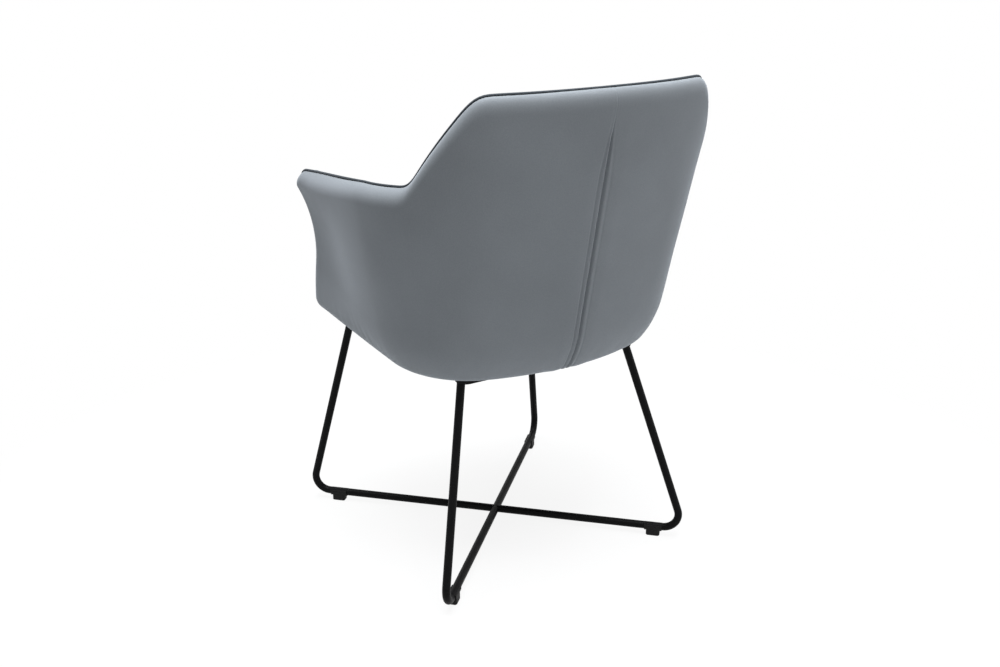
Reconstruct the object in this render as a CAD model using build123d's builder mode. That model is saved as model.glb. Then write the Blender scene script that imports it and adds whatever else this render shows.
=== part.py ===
"""Velvet armchair: a padded wrap-around shell on a base of crossed, bent steel rods.

Frame: +Z up, floor at Z 0, the sitter looks along -Y, the sitter's left arm is at +X.
The shell has a plane of its own, the underside of the seat, which rises a little to the front.
"""
from build123d import *
import os
from math import atan2, copysign, cos, degrees, hypot, pi, radians, sin, sqrt, tan

os.makedirs("parts", exist_ok=True)

# Place of the base under the overall depth, and of the seat's underside over the base
base_y = -46.0
underside_height = 384.3
seat_tilt = 2.5

# Rod base
rod_diameter = 14.0
bend_radius = 28.0
front_half_span = 262.5
rear_half_span = 251.5
base_half_depth = 256.5
front_leg_lean = 15.1
rear_leg_lean = 18.8
weld_gap = 0.2

# Clip-on glides
glide_pad_height = 9.8
glide_length = 32.0
glide_clip_wall = 1.6
glide_lip_rise = 4.0
glide_gap = 0.1
glide_from_corner = 56.0
glide_pad_length = 25.0
glide_pad_width = 16.0
glide_pad_corner = 4.0
glide_toe_chamfer = 1.0

# Mounting bars and their fasteners
bar_width = 34.0
bar_thickness = 5.0
bar_end_margin = 9.0
front_bolt_spread = 120.0
rear_bolt_spread = 96.0
bolt_diameter = 6.0
bolt_hole_gap = 0.5
bolt_head_diameter = 11.0
bolt_head_height = 4.0
washer_diameter = 18.0
washer_thickness = 1.6
tee_barrel_diameter = 8.0
tee_flange_diameter = 19.0
tee_flange_thickness = 1.4

# Seat board: straight sides, rounded rear corners, gently bowed rear edge
board_half_width = 216.0
board_front = -233.0
board_rear = 212.5
board_corner_radius = 118.0
board_rear_radius = 444.0
board_thickness = 15.0
board_gap = 0.7

# Plywood shell and its screws
ply_thickness = 9.0
ply_depth = 10.0
ply_foot_gap = 1.0
ply_foot_rise = 1.0
screw_diameter = 4.5
screw_head_diameter = 8.0
screw_head_height = 2.5
screw_length = 34.0
screw_side_places = (-150.0, -20.0)
screw_rear_turns = (40.0, 76.0)

# Upholstered wall of the back and arms, leans in degrees from upright
cloth = 2.5
lay_gap = 0.3
wall_front = -237.0
wall_front_tilt = 0.6
under_wrap = 22.0
arm_thickness = 36.0
back_thickness = 34.0
arm_roll = 26.0
back_roll = 24.0
front_foot_radius = 25.0
back_foot_radius = 30.0
lower_rise = 65.8
front_low_lean, front_mid_lean, front_top_lean = 0.2, -5.2, 30.4
back_low_lean, back_mid_lean, back_top_lean = 31.5, 9.2, 11.5

# Height of the piped edge over the underside, and where the arm climbs to the back
nose_drop = 20.0
nose_length = 33.0
arm_front_height = 267.5
arm_rear_height = 310.5
back_corner_height = 472.5
back_crown = 5.2
slope_start_turn = 17.5
slope_end_turn = 65.7
slope_round = 0.24

# Piping cord
piping_diameter = 6.0
piping_gap = 1.1
piping_end_share = 0.6

# Seat cushion
seat_side_gap = 4.0
seat_foam_gap = 1.0
seat_front_overhang = 6.0
seat_front_bow = 11.0
seat_front_swell = 6.0
seat_wall_height = 76.0
seat_crown_height = 101.0
seat_crown_inset = 62.0
seat_steps = 3

# The shell's plane, and sizes that follow from the ones above
tilt = radians(seat_tilt)
least_turn = radians(0.25)
arm_steps, corner_steps, rear_steps = 12, 6, 5
shell_plane = Plane(origin=(0, base_y, underside_height), x_dir=(1, 0, 0), z_dir=(0, sin(tilt), cos(tilt)))
rod_radius = rod_diameter / 2
bar_axis_height = glide_pad_height + rod_radius
board_top = cloth + board_thickness
piping_radius = piping_diameter / 2

# Plan of the board's edge: the rear corner's centre, and the turn at which the corner meets the rear bow
corner_x = board_half_width - board_corner_radius
bow_y = board_rear - board_rear_radius
corner_y = bow_y + sqrt((board_rear_radius - board_corner_radius) ** 2 - corner_x ** 2)
corner_turn = degrees(atan2(corner_y - bow_y, corner_x))
side_length = corner_y - wall_front


def ease(value):
    """Smooth step from 0 to 1."""
    value = min(max(value, 0.0), 1.0)
    return value * value * (3 - 2 * value)


def ramp(value):
    """Straight climb from 0 to 1 with rounded ends."""
    value = min(max(value, 0.0), 1.0)
    if value > 0.5:
        return 1 - ramp(1 - value)
    rounded = min(value, slope_round)
    return (rounded ** 2 / (2 * slope_round) + value - rounded) / (1 - slope_round)


def blend(start, end, share):
    """Value between two others."""
    return start + (end - start) * share


def edge_point(turn):
    """Point of the board's edge where its outward normal has turned so far from the side."""
    a = radians(turn)
    if turn <= corner_turn:
        return corner_x + board_corner_radius * cos(a), corner_y + board_corner_radius * sin(a)
    return board_rear_radius * cos(a), bow_y + board_rear_radius * sin(a)


class Station:
    """One upright section through the wall: its plane on the board's edge, and its profile's sizes.

    In the plane, X runs outward from the board's edge and Y runs up from the seat's underside.
    """

    def __init__(self, along=None, turn=0.0, side=1):
        on_arm = along is not None
        share = ease(along / side_length) if on_arm else 1.0
        climb = ramp((turn - slope_start_turn) / (slope_end_turn - slope_start_turn))
        x, y = (board_half_width, wall_front + along) if on_arm else edge_point(turn)
        out = Vector(side * cos(radians(turn)), sin(radians(turn)), 0)
        back_tilt = radians(wall_front_tilt) * (1 - ease(along / 150)) if on_arm else 0.0
        rise = Vector(0, sin(back_tilt), cos(back_tilt))
        self.side = side
        self.along = along
        self.plane = Plane(
            origin=shell_plane.from_local_coords(Vector(side * x, y, 0)),
            x_dir=shell_plane.from_local_coords(out) - shell_plane.origin,
            z_dir=shell_plane.from_local_coords(out.cross(rise)) - shell_plane.origin,
        )
        self.thickness = blend(arm_thickness, back_thickness, climb)
        self.roll = blend(arm_roll, back_roll, climb)
        self.foot = blend(front_foot_radius, back_foot_radius, share)
        self.low = blend(front_low_lean, back_low_lean, share)
        self.mid = blend(front_mid_lean, back_mid_lean, share)
        self.top = blend(front_top_lean, back_top_lean, share)
        height = blend(arm_rear_height, back_corner_height, climb) + back_crown * ease((turn - 60) / 30)
        if on_arm:
            height = blend(arm_front_height, arm_rear_height, along / side_length)
            height -= nose_drop * (1 - min(along / nose_length, 1.0)) ** 2
        self.height = height

    def inward(self, lean, reach):
        """Step from the outer face into the wall, where the face has this lean."""
        return -reach * cos(radians(lean)), reach * sin(radians(lean))

    def joints(self, depth):
        """Foot, lower, middle and upper joints of the face at this depth inside the outer face."""
        low, mid, top = self.low, self.mid, self.top
        foot = (self.foot * cos(radians(low)), self.foot * (1 - sin(radians(low))))
        middle = (foot[0] + lower_rise * tan(radians((low + mid) / 2)), foot[1] + lower_rise)
        upper_y = self.height - self.thickness * sin(radians(top)) - self.roll * cos(radians(top))
        upper_x = middle[0] + (upper_y - middle[1]) * tan(radians((mid + top) / 2))
        points = [(0.0, depth)]
        for (x, y), lean in ((foot, low), (middle, mid), ((upper_x, upper_y), top)):
            step = self.inward(lean, depth)
            points.append((x + step[0], y + step[1]))
        return points

    def top_point(self, depth, below=0.0):
        """Point on the wall's top, at this depth from the outer face and this far under the top."""
        x, y = self.joints(depth)[3]
        reach = self.roll - below
        return x + reach * sin(radians(self.top)), y + reach * cos(radians(self.top))

    def face_line(self, start, end, start_lean, end_lean):
        """Arc between two joints of a face, from one lean to the other."""
        turn = radians(start_lean - end_lean) if end[1] > start[1] else radians(end_lean - start_lean)
        turn = copysign(max(abs(turn), least_turn), turn)
        mean = radians((start_lean + end_lean) / 2)
        bulge = hypot(end[0] - start[0], end[1] - start[1]) / 2 * tan(turn / 4)
        middle = (
            (start[0] + end[0]) / 2 + bulge * cos(mean),
            (start[1] + end[1]) / 2 - bulge * sin(mean),
        )
        ThreePointArc(start, middle, end)

    def foot_arc(self, depth, flip=False):
        """Rounded bottom edge of the face at this depth."""
        start, end = self.joints(depth)[:2]
        a = radians((90 + self.low) / 2)
        radius = self.foot - depth
        middle = (radius * cos(a), self.foot - radius * sin(a))
        if flip:
            ThreePointArc(end, middle, start)
        else:
            ThreePointArc(start, middle, end)

    def roll_arc(self, depth, flip=False):
        """Rolled top edge of the face at this depth."""
        start = self.joints(depth)[3]
        end = self.top_point(self.roll, depth)
        step = self.inward(self.top, self.roll - depth)
        a = radians(45 - self.top)
        radius = self.roll - depth
        middle = (start[0] + step[0] + radius * cos(a), start[1] + step[1] + radius * sin(a))
        if flip:
            ThreePointArc(end, middle, start)
        else:
            ThreePointArc(start, middle, end)
        return end

    def inner_reach(self, height):
        """How far from the board's edge the wall's inside face lies at this height."""
        points = self.joints(self.thickness)[1:]
        if height <= points[0][1]:
            return points[0][0]
        for (x0, y0), (x1, y1) in zip(points, points[1:]):
            if height <= y1:
                return blend(x0, x1, (height - y0) / (y1 - y0))
        return points[-1][0]


def wall_stations(first=0, finer=1):
    """Stations round the wall, from the left arm's front over the back to the right arm's front.

    Their spacing widens steadily from the arm's front and then stays nearly even, so lofts run smooth.
    """
    on_arm, on_corner, on_rear = finer * arm_steps, finer * corner_steps, finer * rear_steps
    arm = [side_length * (i / on_arm) ** 1.4 for i in range(first, on_arm + 1)]
    corner = [corner_turn * i / on_corner for i in range(1, on_corner + 1)]
    rear = [blend(corner_turn, 90.0, i / on_rear) for i in range(1, on_rear)]
    half = [(place, 0.0) for place in arm] + [(None, turn) for turn in corner + rear]
    left = [Station(place, turn, 1) for place, turn in half]
    right = [Station(place, turn, -1) for place, turn in reversed(half)]
    return left + [Station(None, 90.0, 1)] + right


stations = wall_stations()
front_stations = (stations[0], stations[-1])
centre_station = stations[len(stations) // 2]
side_station = Station(side_length, 0.0, 1)
middle_station = Station(side_length / 2, 0.0, 1)


def outer_cover_profile(s):
    """Cloth from under the seat, round the foot, up the wall and over the roll to the piping."""
    outer, inner = s.joints(0), s.joints(cloth)
    end_depth = s.thickness - piping_diameter - piping_gap
    Line((-under_wrap, 0), outer[0])
    s.foot_arc(0)
    s.face_line(outer[1], outer[2], s.low, s.mid)
    s.face_line(outer[2], outer[3], s.mid, s.top)
    roll_end = s.roll_arc(0)
    Line(roll_end, s.top_point(end_depth))
    Line(s.top_point(end_depth), s.top_point(end_depth, cloth))
    Line(s.top_point(end_depth, cloth), s.top_point(s.roll, cloth))
    s.roll_arc(cloth, flip=True)
    s.face_line(inner[3], inner[2], s.top, s.mid)
    s.face_line(inner[2], inner[1], s.mid, s.low)
    s.foot_arc(cloth, flip=True)
    Line(inner[0], (-under_wrap, cloth))
    Line((-under_wrap, cloth), (-under_wrap, 0))


def inner_cover_profile(s):
    """Cloth down the inside of the wall, tucked behind the seat cushion."""
    front, rear = s.joints(s.thickness), s.joints(s.thickness - cloth)
    top_front = s.top_point(s.thickness, cloth)
    top_rear = s.top_point(s.thickness - cloth, cloth)
    Line(rear[3], top_rear)
    Line(top_rear, top_front)
    Line(top_front, front[3])
    s.face_line(front[3], front[2], s.top, s.mid)
    s.face_line(front[2], front[1], s.mid, s.low)
    Line(front[1], rear[1])
    s.face_line(rear[1], rear[2], s.low, s.mid)
    s.face_line(rear[2], rear[3], s.mid, s.top)


def foam_profile(s):
    """Foam between the two covers, standing on the board's rim."""
    skin = cloth + lay_gap
    inner_depth = s.thickness - skin
    outer, inner = s.joints(skin), s.joints(inner_depth)
    s.foot_arc(skin)
    s.face_line(outer[1], outer[2], s.low, s.mid)
    s.face_line(outer[2], outer[3], s.mid, s.top)
    roll_end = s.roll_arc(skin)
    top_inner = s.top_point(inner_depth, skin)
    Line(roll_end, top_inner)
    Line(top_inner, inner[3])
    s.face_line(inner[3], inner[2], s.top, s.mid)
    s.face_line(inner[2], inner[1], s.mid, s.low)
    Line(inner[1], (inner[1][0], board_top + lay_gap))
    Line((inner[1][0], board_top + lay_gap), (0, board_top + lay_gap))
    Line((0, board_top + lay_gap), outer[0])


def ply_profile(s):
    """Bent plywood section from beside the board's edge, along the outer face, to the start of the roll."""
    inner_foot, outer_foot = ply_foot_gap, ply_foot_gap + ply_thickness
    skin = s.foot - cloth - lay_gap
    base = s.foot - sqrt(skin ** 2 - outer_foot ** 2) + ply_foot_rise
    outer, inner = s.joints(ply_depth), s.joints(ply_depth + ply_thickness)
    Line((inner_foot, base), (outer_foot, base))
    Line((outer_foot, base), outer[2])
    s.face_line(outer[2], outer[3], s.mid, s.top)
    Line(outer[3], inner[3])
    s.face_line(inner[3], inner[2], s.top, s.mid)
    Line(inner[2], (inner_foot, base))


def full_profile(s):
    """Whole end of the wall inside the front piping, for the arm facings."""
    end_depth = s.thickness - piping_diameter - piping_gap
    outer, inner = s.joints(0), s.joints(end_depth)
    s.foot_arc(0)
    s.face_line(outer[1], outer[2], s.low, s.mid)
    s.face_line(outer[2], outer[3], s.mid, s.top)
    roll_end = s.roll_arc(0)
    top_inner = s.top_point(end_depth)
    Line(roll_end, top_inner)
    Line(top_inner, inner[3])
    s.face_line(inner[3], inner[2], s.top, s.mid)
    s.face_line(inner[2], inner[1], s.mid, s.low)
    Line(inner[1], (inner[1][0], 0))
    Line((inner[1][0], 0), outer[0])


def piping_centre(s):
    """Centre of the piping cord on top of the wall's inner edge."""
    return s.top_point(s.thickness - piping_radius, cloth - piping_radius - piping_gap)


def wall_loft(profile, sections):
    """Loft one layer of the wall through its stations, inside the part being built."""
    slices = []
    for s in sections:
        with BuildSketch(s.plane) as section:
            with BuildLine():
                profile(s)
            make_face()
        slices.append(section.sketch)
    loft(slices)


# Outer cover: one tailored tube of cloth, sewn from two panels at the centre-back seam
with BuildPart() as outer_cover:
    wall_loft(outer_cover_profile, stations)

with BuildPart() as outer_cover_left:
    add(outer_cover.part)
    split(bisect_by=Plane.YZ.offset(lay_gap / 2), keep=Keep.TOP)
outer_cover_left.part.label = "outer_cover_left"
export_step(outer_cover_left.part, "parts/outer_cover_left.step")

with BuildPart() as outer_cover_right:
    add(outer_cover.part)
    split(bisect_by=Plane.YZ.offset(-lay_gap / 2), keep=Keep.BOTTOM)
outer_cover_right.part.label = "outer_cover_right"
export_step(outer_cover_right.part, "parts/outer_cover_right.step")

# Inner cover of the back and arms
with BuildPart() as inner_cover:
    wall_loft(inner_cover_profile, stations)
inner_cover.part.label = "inner_cover"
export_step(inner_cover.part, "parts/inner_cover.step")

# Bent plywood shell, with screw holes into the board's edge
screw_height = cloth + board_thickness / 2
screw_planes = []
for screw_side in (1, -1):
    spots = [Station(place - wall_front, 0.0, screw_side) for place in screw_side_places]
    spots += [Station(None, turn, screw_side) for turn in screw_rear_turns]
    for s in spots:
        head_at = s.plane.from_local_coords(Vector(ply_foot_gap + ply_thickness, screw_height, 0))
        screw_planes.append(Plane(origin=head_at, x_dir=s.plane.z_dir, z_dir=s.plane.x_dir))

with BuildPart() as back_shell:
    wall_loft(ply_profile, wall_stations(2))
    for plane in screw_planes:
        with BuildSketch(plane.offset(-screw_length)):
            Circle(screw_diameter / 2)
        extrude(amount=screw_length, mode=Mode.SUBTRACT)
        with BuildSketch(plane.offset(-screw_head_height)):
            Circle(screw_head_diameter / 2)
        extrude(amount=screw_head_height + 12, mode=Mode.SUBTRACT)
back_shell.part.label = "back_shell"
export_step(back_shell.part, "parts/back_shell.step")

# Moulded foam of the back and arms, with the slot that holds the plywood shell
with BuildPart() as ply_slot:
    wall_loft(ply_profile, wall_stations(2))

with BuildPart() as wall_foam:
    wall_loft(foam_profile, stations)
    add(ply_slot.part, mode=Mode.SUBTRACT)
    for plane in screw_planes:
        with BuildSketch(plane.offset(-screw_length)):
            Circle(screw_diameter / 2)
        extrude(amount=screw_length, mode=Mode.SUBTRACT)
wall_foam.part.label = "wall_foam"
export_step(wall_foam.part, "parts/wall_foam.step")

# Arm facings: the cloth over the front ends of the arms
for name, s in zip(("arm_facing_left", "arm_facing_right"), front_stations):
    with BuildPart() as arm_facing:
        with BuildSketch(s.plane.offset(s.side * lay_gap)):
            with BuildLine():
                full_profile(s)
            make_face()
        extrude(amount=s.side * cloth)
    arm_facing.part.label = name
    export_step(arm_facing.part, "parts/" + name + ".step")

# Piping along the arms and the back, and down the front of each arm
with BuildPart() as edge_piping:
    cord_stations = wall_stations(finer=2)
    cord = [s.plane.from_local_coords(Vector(*piping_centre(s), 0)) for s in cord_stations]
    cord[0] = blend(cord[0], cord[1], piping_end_share)
    cord[-1] = blend(cord[-1], cord[-2], piping_end_share)
    rings = []
    for i, s in enumerate(cord_stations):
        along = cord[min(i + 1, len(cord) - 1)] - cord[max(i - 1, 0)]
        with BuildSketch(Plane(origin=cord[i], x_dir=s.plane.x_dir, z_dir=along)) as cord_ring:
            Circle(piping_radius)
        rings.append(cord_ring.sketch)
    add([loft(pair, mode=Mode.PRIVATE) for pair in zip(rings, rings[1:])])
edge_piping.part.label = "edge_piping"
export_step(edge_piping.part, "parts/edge_piping.step")

for name, s in zip(("front_piping_left", "front_piping_right"), front_stations):
    with BuildPart() as front_piping:
        depth = s.thickness - piping_radius
        line = s.joints(depth)
        with BuildLine(s.plane.offset(s.side * (piping_radius + lay_gap))) as path:
            Line(s.top_point(depth, cloth - piping_diameter - piping_gap), line[3])
            s.face_line(line[3], line[2], s.top, s.mid)
            s.face_line(line[2], line[1], s.mid, s.low)
        with BuildSketch(Plane(origin=path.line @ 0, z_dir=path.line % 0)):
            Circle(piping_radius)
        sweep(path=path.line)
    front_piping.part.label = name
    export_step(front_piping.part, "parts/" + name + ".step")


def board_outline(inset, front, front_x):
    """Plan outline inside the board's edge, with straight, bowed and rounded stretches."""
    turn = radians(corner_turn)
    half = radians(corner_turn / 2)
    corner = board_corner_radius - inset
    joint = (corner_x + corner * cos(turn), corner_y + corner * sin(turn))
    bend = (corner_x + corner * cos(half), corner_y + corner * sin(half))
    side_end = (board_half_width - inset, corner_y)
    Line((front_x, front), side_end)
    ThreePointArc(side_end, bend, joint)
    ThreePointArc(joint, (0, board_rear - inset), (-joint[0], joint[1]))
    ThreePointArc((-joint[0], joint[1]), (-bend[0], bend[1]), (-side_end[0], side_end[1]))
    Line((-side_end[0], side_end[1]), (-front_x, front))


# Bolt places in the shell's plane, under the two bars
def leg_top(half_span, lean, depth_sign):
    """Point where a leg's centre line meets the underside of its bar."""
    other = rear_half_span if depth_sign < 0 else front_half_span
    run = hypot(half_span + other, 2 * base_half_depth)
    step_x = -(half_span + other) / run * tan(radians(lean))
    step_y = -depth_sign * 2 * base_half_depth / run * tan(radians(lean))
    y0 = depth_sign * base_half_depth
    z0 = bar_axis_height - underside_height
    rise = -(bar_thickness + y0 * sin(tilt) + z0 * cos(tilt)) / (step_y * sin(tilt) + cos(tilt))
    return half_span + step_x * rise, y0 + step_y * rise, z0 + rise


def in_shell(y, z):
    """Y in the shell's plane of a point given from the base's centre and the underside's height."""
    return y * cos(tilt) - z * sin(tilt)


front_leg = leg_top(front_half_span, front_leg_lean, -1)
rear_leg = leg_top(rear_half_span, rear_leg_lean, 1)
front_bar_y = in_shell(front_leg[1], front_leg[2])
rear_bar_y = in_shell(rear_leg[1], rear_leg[2])
bolt_places = [(x, front_bar_y) for x in (-front_bolt_spread, front_bolt_spread)]
bolt_places += [(x, rear_bar_y) for x in (-rear_bolt_spread, rear_bolt_spread)]
clear_hole = bolt_diameter / 2 + bolt_hole_gap / 2

# Seat board with tee-nut seats and screw holes
with BuildPart() as seat_board:
    with BuildSketch(shell_plane.offset(cloth)):
        with BuildLine():
            board_outline(board_gap, board_front, board_half_width - board_gap)
            Line((-board_half_width + board_gap, board_front), (board_half_width - board_gap, board_front))
        make_face()
    extrude(amount=board_thickness)
    with BuildSketch(shell_plane.offset(cloth)):
        with Locations(*bolt_places):
            Circle(tee_barrel_diameter / 2)
    extrude(amount=board_thickness, mode=Mode.SUBTRACT)
    with BuildSketch(shell_plane.offset(board_top - tee_flange_thickness)):
        with Locations(*bolt_places):
            Circle(tee_flange_diameter / 2)
    extrude(amount=tee_flange_thickness, mode=Mode.SUBTRACT)
    for plane in screw_planes:
        with BuildSketch(plane.offset(-screw_length)):
            Circle(screw_diameter / 2)
        extrude(amount=screw_length, mode=Mode.SUBTRACT)
seat_board.part.label = "seat_board"
export_step(seat_board.part, "parts/seat_board.step")

# Screws through the plywood shell into the board's edge
with BuildPart() as shell_screws:
    for plane in screw_planes:
        with BuildSketch(plane.offset(-screw_length)):
            Circle(screw_diameter / 2)
        extrude(amount=screw_length)
        with BuildSketch(plane.offset(-screw_head_height)):
            Circle(screw_head_diameter / 2)
        extrude(amount=screw_head_height)
shell_screws.part.label = "shell_screws"
export_step(shell_screws.part, "parts/shell_screws.step")

# Cloth that closes the underside, flush with the turned-in edge of the outer cover
with BuildPart() as under_cloth:
    with BuildSketch(shell_plane):
        cloth_inset = under_wrap + lay_gap
        with BuildLine():
            board_outline(cloth_inset, board_front, board_half_width - cloth_inset)
            Line(
                (-board_half_width + cloth_inset, board_front),
                (board_half_width - cloth_inset, board_front),
            )
        make_face()
    extrude(amount=cloth)
    with BuildSketch(shell_plane):
        with Locations(*bolt_places):
            Circle(clear_hole)
    extrude(amount=cloth, mode=Mode.SUBTRACT)
under_cloth.part.label = "under_cloth"
export_step(under_cloth.part, "parts/under_cloth.step")


def seat_levels(skin, bottom):
    """Heights, side insets and front offsets of the cushion's plan sections, skin deep inside.

    The height rises as a cubic that lies flat at the crown, and the inset grows as a cube, so the
    four sections lie on one smooth curve.
    """
    levels = []
    for i in range(seat_steps + 1):
        share = i / seat_steps
        height = blend(bottom, seat_crown_height - skin, 1.5 * share - 0.5 * share ** 3)
        inset = skin + seat_crown_inset * share ** 3
        levels.append((height, inset, inset - seat_front_swell * sin(pi * share)))
    return levels


def seat_section(height, inset, front_offset):
    """Plan section of the cushion, fitted between the wall's inside faces at this height."""
    reach = min(height, seat_wall_height)
    front_x = board_half_width + front_stations[0].inner_reach(reach) - seat_side_gap - inset
    middle_x = board_half_width + middle_station.inner_reach(reach) - seat_side_gap - inset
    side_x = board_half_width + side_station.inner_reach(reach) - seat_side_gap - inset
    back_in = -centre_station.inner_reach(reach) + seat_side_gap + inset
    corner = side_x - corner_x
    turn = radians(corner_turn)
    half = radians(corner_turn / 2)
    front_y = board_front - seat_front_overhang + front_offset
    joint_radius = board_rear_radius - back_in
    joint = (joint_radius * cos(turn), bow_y + joint_radius * sin(turn))
    bend_radius_here = (corner + board_corner_radius - back_in) / 2
    bend = (corner_x + bend_radius_here * cos(half), corner_y + bend_radius_here * sin(half))
    side_end = (side_x, corner_y)
    middle_y = (front_y + corner_y) / 2
    ThreePointArc((front_x, front_y), (middle_x, middle_y), side_end)
    ThreePointArc(side_end, bend, joint)
    ThreePointArc(joint, (0, board_rear - back_in), (-joint[0], joint[1]))
    ThreePointArc((-joint[0], joint[1]), (-bend[0], bend[1]), (-side_x, corner_y))
    ThreePointArc((-side_x, corner_y), (-middle_x, middle_y), (-front_x, front_y))
    ThreePointArc((-front_x, front_y), (0, front_y - seat_front_bow), (front_x, front_y))


def seat_loft(levels):
    """Loft the cushion through its plan sections, inside the part being built."""
    slices = []
    for height, inset, front_offset in levels:
        with BuildSketch(shell_plane.offset(height)) as section:
            with BuildLine():
                seat_section(height, inset, front_offset)
            make_face()
        slices.append(section.sketch)
    loft(slices)


# Seat cushion foam
with BuildPart() as seat_foam:
    seat_loft(seat_levels(cloth + seat_foam_gap, board_top + lay_gap))
seat_foam.part.label = "seat_foam"
export_step(seat_foam.part, "parts/seat_foam.step")

# Seat cover: cloth over the cushion, with a skirt in front of the board's edge
with BuildPart() as seat_core:
    seat_loft(seat_levels(cloth, board_top + lay_gap))

with BuildPart() as seat_cover:
    seat_loft(seat_levels(0, cloth))
    add(seat_core.part, mode=Mode.SUBTRACT)
    with BuildSketch(shell_plane):
        with BuildLine():
            board_outline(0, board_front - lay_gap, board_half_width)
            Line((-board_half_width, board_front - lay_gap), (board_half_width, board_front - lay_gap))
        make_face()
    extrude(amount=board_top + lay_gap, mode=Mode.SUBTRACT)
seat_cover.part.label = "seat_cover"
export_step(seat_cover.part, "parts/seat_cover.step")

# Mounting bars under the seat board
for name, leg, bar_y, spread in (
    ("mount_bar_front", front_leg, front_bar_y, front_bolt_spread),
    ("mount_bar_rear", rear_leg, rear_bar_y, rear_bolt_spread),
):
    with BuildPart() as mount_bar:
        with BuildSketch(shell_plane.offset(-bar_thickness)):
            with Locations((0, bar_y)):
                SlotOverall(2 * (leg[0] + bar_end_margin), bar_width)
            with Locations((-spread, bar_y), (spread, bar_y)):
                Circle(clear_hole, mode=Mode.SUBTRACT)
        extrude(amount=bar_thickness)
    mount_bar.part.label = name
    export_step(mount_bar.part, "parts/" + name + ".step")

# Bolts, washers and tee nuts
with BuildPart() as frame_bolts:
    with BuildSketch(shell_plane.offset(-bar_thickness - washer_thickness)):
        with Locations(*bolt_places):
            Circle(bolt_diameter / 2)
    extrude(amount=bar_thickness + washer_thickness + board_top - tee_flange_thickness)
    with BuildSketch(shell_plane.offset(-bar_thickness - washer_thickness)):
        with Locations(*bolt_places):
            RegularPolygon(bolt_head_diameter / 2, 6)
    extrude(amount=-bolt_head_height)
frame_bolts.part.label = "frame_bolts"
export_step(frame_bolts.part, "parts/frame_bolts.step")

with BuildPart() as frame_washers:
    with BuildSketch(shell_plane.offset(-bar_thickness)):
        with Locations(*bolt_places):
            Circle(washer_diameter / 2)
            Circle(clear_hole, mode=Mode.SUBTRACT)
    extrude(amount=-washer_thickness)
frame_washers.part.label = "frame_washers"
export_step(frame_washers.part, "parts/frame_washers.step")

with BuildPart() as tee_nuts:
    with BuildSketch(shell_plane.offset(cloth)):
        with Locations(*bolt_places):
            Circle(tee_barrel_diameter / 2)
    extrude(amount=board_thickness)
    with BuildSketch(shell_plane.offset(board_top - tee_flange_thickness)):
        with Locations(*bolt_places):
            Circle(tee_flange_diameter / 2)
    extrude(amount=tee_flange_thickness)
    with BuildSketch(shell_plane.offset(cloth)):
        with Locations(*bolt_places):
            Circle(bolt_diameter / 2)
    extrude(amount=board_thickness, mode=Mode.SUBTRACT)
tee_nuts.part.label = "tee_nuts"
export_step(tee_nuts.part, "parts/tee_nuts.step")

# Bent rods: each lies in the upright plane through two opposite floor corners
floor_corners = {
    "front_left": (front_half_span, -base_half_depth),
    "front_right": (-front_half_span, -base_half_depth),
    "rear_left": (rear_half_span, base_half_depth),
    "rear_right": (-rear_half_span, base_half_depth),
}
leg_reach = 1.1 * (underside_height - bar_axis_height)
bar_underside = shell_plane.offset(-bar_thickness)
bar_length = hypot(front_half_span + rear_half_span, 2 * base_half_depth)
front_share = front_half_span / (front_half_span + rear_half_span)


def rod_plane(start, end):
    """Plane of a rod: X along its floor bar from the starting corner, Y up."""
    along = Vector(end[0] - start[0], end[1] - start[1], 0).normalized()
    return Plane(
        origin=(start[0], start[1] + base_y, bar_axis_height),
        x_dir=along,
        z_dir=along.cross(Vector(0, 0, 1)),
    )


def bent_rod(plane, points):
    """Sweep the rod's round section along a bent line, and cut it flush under the bar."""
    with BuildLine(plane) as path:
        FilletPolyline(*points, radius=bend_radius)
    with BuildSketch(Plane(origin=path.line @ 0, z_dir=path.line % 0)) as section:
        Circle(rod_radius)
    sweep(section.sketch, path=path.line)
    split(bisect_by=bar_underside, keep=Keep.BOTTOM)


front_foot = leg_reach * tan(radians(front_leg_lean))
rear_foot = leg_reach * tan(radians(rear_leg_lean))

with BuildPart() as leg_rod_through:
    through_plane = rod_plane(floor_corners["rear_left"], floor_corners["front_right"])
    bent_rod(
        through_plane,
        [(rear_foot, leg_reach), (0, 0), (bar_length, 0), (bar_length - front_foot, leg_reach)],
    )
leg_rod_through.part.label = "leg_rod_through"
export_step(leg_rod_through.part, "parts/leg_rod_through.step")

for name, start, end, foot, share in (
    ("leg_rod_front_left", "front_left", "rear_right", front_foot, front_share),
    ("leg_rod_rear_right", "rear_right", "front_left", rear_foot, 1 - front_share),
):
    with BuildPart() as leg_rod:
        bent_rod(
            rod_plane(floor_corners[start], floor_corners[end]),
            [(foot, leg_reach), (0, 0), (share * bar_length, 0)],
        )
        with BuildSketch(Plane(origin=through_plane.origin, z_dir=through_plane.x_dir)):
            Circle(rod_radius + weld_gap)
        extrude(amount=bar_length, mode=Mode.SUBTRACT)
    leg_rod.part.label = name
    export_step(leg_rod.part, "parts/" + name + ".step")

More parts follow.
